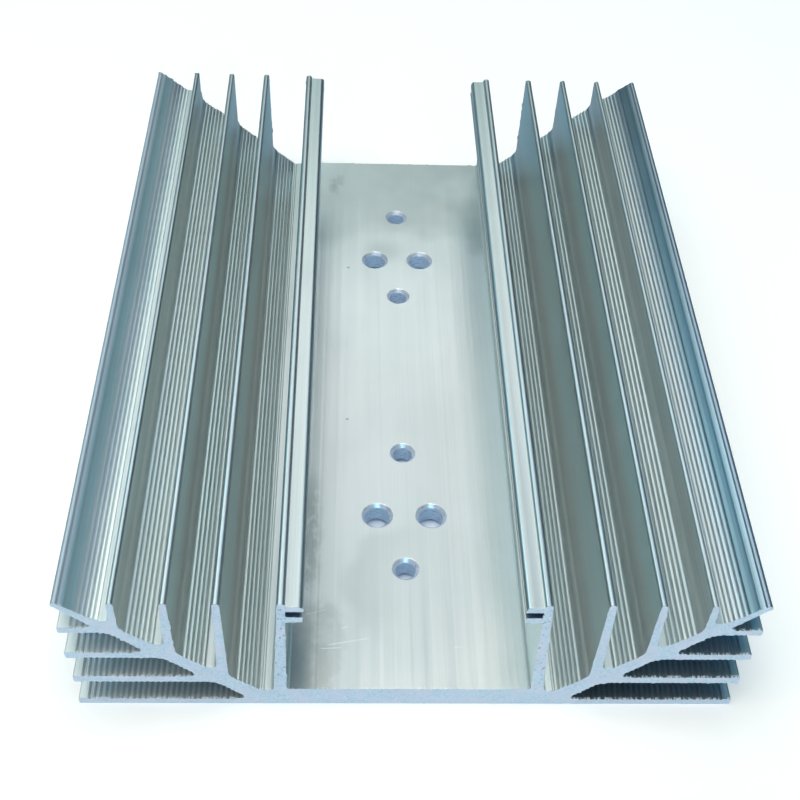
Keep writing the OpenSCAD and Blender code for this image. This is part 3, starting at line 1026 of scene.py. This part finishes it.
def sawn_material():
    m = Nodes("sawn_aluminium")
    grain = m.noise(m.scaled(1900, 1900, 1900), 1.0, 3.0, 0.65)
    marks = m.noise(m.scaled(160, 160, 2600), 1.0, 2.0, 0.5)
    patch = m.noise(m.scaled(330, 330, 330), 1.0, 3.0, 0.6)
    dark = m.noise(m.scaled(1250, 1250, 1250), 1.0, 2.0, 0.6)
    # painted reflection: the blue in these colours stands for the blue light in front; grain and lavender patches are
    # the face's own mottling
    base = m.mix(m.range(grain, 0.3, 0.7, 0, 1), (0.68, 0.79, 0.92, 1), (0.86, 0.93, 1.0, 1))
    base = m.mix(m.range(patch, 0.42, 0.62, 0.0, 0.65), base, (0.90, 0.87, 0.98, 1))
    # painted shade: dark pits on the walls' sawn ends, thickest near their edges, fewer low down
    wall = m.math("ABSOLUTE", m.math("SUBTRACT", m.math("ABSOLUTE", m.x), 0.0228))
    wall = m.math("MULTIPLY", m.range(wall, 0.0012, 0.0020, 1.0, 0.15), m.range(m.z, 0.004, 0.008, 0.35, 1.0))
    pits = m.math("MULTIPLY", m.range(dark, 0.60, 0.68, 0.0, 0.75), wall)
    base = m.mix(pits, base, (0.30, 0.36, 0.42, 1))
    m.put(m.bsdf.inputs["Base Color"], base)
    m.bsdf.inputs["Metallic"].default_value = 0.30
    m.put(m.bsdf.inputs["Roughness"], m.range(grain, 0.3, 0.7, 0.45, 0.62))
    b = m.bump(grain, 0.5, 0.0001)
    b = m.bump(marks, 0.4, 0.0001, b)
    m.put(m.bsdf.inputs["Normal"], b)
    return m.mat


def drilled_material():
    m = Nodes("drilled_aluminium")
    turn = m.noise(m.scaled(700, 700, 7000), 1.0, 2.0, 0.5)
    # painted reflection: the blue of the bore stands for the blue light in front
    base = m.mix(turn, (0.62, 0.73, 0.90, 1), (0.78, 0.86, 0.98, 1))
    m.put(m.bsdf.inputs["Base Color"], base)
    m.bsdf.inputs["Metallic"].default_value = 0.55
    m.put(m.bsdf.inputs["Roughness"], m.range(turn, 0.3, 0.7, 0.26, 0.38))
    m.put(m.bsdf.inputs["Normal"], m.bump(turn, 0.3, 0.0001))
    return m.mat


surfaces = [fin_material(), sawn_material(), drilled_material(), level_material(), floor_material()]
bar = build("extruded_bar", verts, faces, mats, normals, surfaces)
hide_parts("heat_sink")
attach(bar, "root")
tris = sum(len(f) - 2 for f in faces)
print("bar:", len(verts), "points", tris, "triangles; ring", N, "rows", NR, "caps", nf, nb)

# ----------------------------------------------------------------------------
# Stage and lights
# ----------------------------------------------------------------------------


def stage():
    mesh = bpy.data.meshes.new("floor")
    s = 4.0
    mesh.from_pydata([(-s, -s, 0), (s, -s, 0), (s, s, 0), (-s, s, 0)], [], [(0, 1, 2, 3)])
    obj = bpy.data.objects.new("floor", mesh)
    bpy.context.scene.collection.objects.link(obj)
    m = Nodes("floor")
    m.bsdf.inputs["Roughness"].default_value = 0.75
    m.bsdf.inputs["Specular IOR Level"].default_value = 0.2
    m.bsdf.inputs["Emission Color"].default_value = (0.95, 0.985, 1.0, 1)
    ax, ay = m.math("ABSOLUTE", m.x), m.math("ABSOLUTE", m.y)
    # painted shadow under the bar: the table there is bluer and has no glow
    clear = m.math("MAXIMUM", m.range(ax, 0.046, 0.052, 0.0, 1.0), m.range(ay, 0.070, 0.076, 0.0, 1.0))
    m.put(m.bsdf.inputs["Base Color"], m.mix(clear, (0.70, 0.83, 0.97, 1), (0.90, 0.93, 0.95, 1)))
    # the far table and the backdrop stay pale where the lights don't reach
    out = m.math("SQRT", m.math("ADD", m.math("MULTIPLY", m.x, m.x), m.math("MULTIPLY", m.y, m.y)))
    m.put(m.bsdf.inputs["Emission Strength"], m.math("MAXIMUM", m.math("MULTIPLY", clear, 0.2), m.range(out, 0.6, 1.8, 0.0, 0.92)))
    mesh.materials.append(m.mat)
    obj.visible_glossy = False
    n, r, h = 64, 3.9, 3.9
    pts = [(r * math.cos(2 * math.pi * i / n), r * math.sin(2 * math.pi * i / n), z) for z in (-0.01, h) for i in range(n)]
    mesh = bpy.data.meshes.new("backdrop")
    mesh.from_pydata(pts, [], [(i, (i + 1) % n, n + (i + 1) % n, n + i) for i in range(n)])
    back = bpy.data.objects.new("backdrop", mesh)
    bpy.context.scene.collection.objects.link(back)
    m = Nodes("backdrop")
    m.bsdf.inputs["Base Color"].default_value = (0.0, 0.0, 0.0, 1)
    m.bsdf.inputs["Emission Color"].default_value = (0.93, 0.97, 1.0, 1)
    m.bsdf.inputs["Emission Strength"].default_value = 0.92
    mesh.materials.append(m.mat)
    back.visible_glossy = back.visible_diffuse = back.visible_transmission = back.visible_shadow = False


def area(name, at, to, size, power, color=(1, 1, 1), spread=180):
    data = bpy.data.lights.new(name, "AREA")
    data.shape = "RECTANGLE"
    data.size, data.size_y = size
    data.energy = power
    data.color = color
    data.spread = math.radians(spread)
    obj = bpy.data.objects.new(name, data)
    bpy.context.scene.collection.objects.link(obj)
    obj.location = at
    d = Vector(to) - Vector(at)
    obj.rotation_euler = d.to_track_quat("-Z", "Y").to_euler()
    obj.visible_camera = False
    return obj


def world(low, high):
    w = bpy.data.worlds.new("world")
    bpy.context.scene.world = w
    w.use_nodes = True
    nt = w.node_tree
    nt.nodes.clear()
    out = nt.nodes.new("ShaderNodeOutputWorld")
    bg = nt.nodes.new("ShaderNodeBackground")
    nt.links.new(bg.outputs[0], out.inputs[0])
    coord = nt.nodes.new("ShaderNodeTexCoord")
    sep = nt.nodes.new("ShaderNodeSeparateXYZ")
    nt.links.new(coord.outputs["Generated"], sep.inputs[0])
    step = nt.nodes.new("ShaderNodeMath")
    step.operation = "GREATER_THAN"
    nt.links.new(sep.outputs[2], step.inputs[0])
    step.inputs[1].default_value = 0.0
    mix = nt.nodes.new("ShaderNodeMix")
    mix.data_type = "RGBA"
    nt.links.new(step.outputs[0], mix.inputs[0])
    mix.inputs[6].default_value = (*low, 1)
    mix.inputs[7].default_value = (*high, 1)
    nt.links.new(mix.outputs[2], bg.inputs["Color"])
    bg.inputs["Strength"].default_value = 1.0


def dome(name, az, el, size, rgb):
    """A soft box 1.1 m from the middle of the bar, az 0 in front and 90 to the
    right. rgb is its power in watts for each colour."""
    a, e = math.radians(az), math.radians(el)
    at = Vector((math.sin(a) * math.cos(e), -math.cos(a) * math.cos(e), math.sin(e))) * 1.1
    top = max(rgb)
    return area(name, at, (0, 0, 0.01), size, top, tuple(c / top for c in rgb))


stage()
world((0.217, 0.340, 0.422), (0.000, 0.000, 0.010))
dome("front_low", 0, 28, (0.54, 0.45), (1.42, 2.57, 3.18))
dome("right_front_low", 45, 28, (0.54, 0.45), (0.68, 1.12, 1.33))
dome("back_low", 180, 28, (0.54, 0.45), (0.06, 0.20, 0.19))
dome("left_back_low", 225, 28, (0.54, 0.45), (0.08, 0.32, 0.45))
dome("right_back_mid", 135, 46, (0.54, 0.45), (0.06, 0.26, 0.42))
dome("back_mid", 180, 46, (0.54, 0.45), (0.84, 0.87, 0.87))
dome("left_back_mid", 225, 46, (0.54, 0.45), (0.94, 1.30, 1.36))
dome("left_mid", 270, 46, (0.54, 0.45), (0.34, 0.20, 0.16))
dome("front_high", 0, 66, (0.54, 0.45), (0.99, 0.82, 0.53))
dome("right_front_high", 60, 66, (0.54, 0.45), (0.40, 0.20, 0.16))
dome("back_high", 180, 66, (0.54, 0.45), (0.09, 0.19, 0.24))
dome("key", 300, 66, (0.54, 0.45), (3.00, 2.45, 2.02))
dome("top", 0, 90, (0.6, 0.6), (5.34, 5.37, 4.92))
scene = bpy.context.scene
scene.view_settings.view_transform = "Standard"
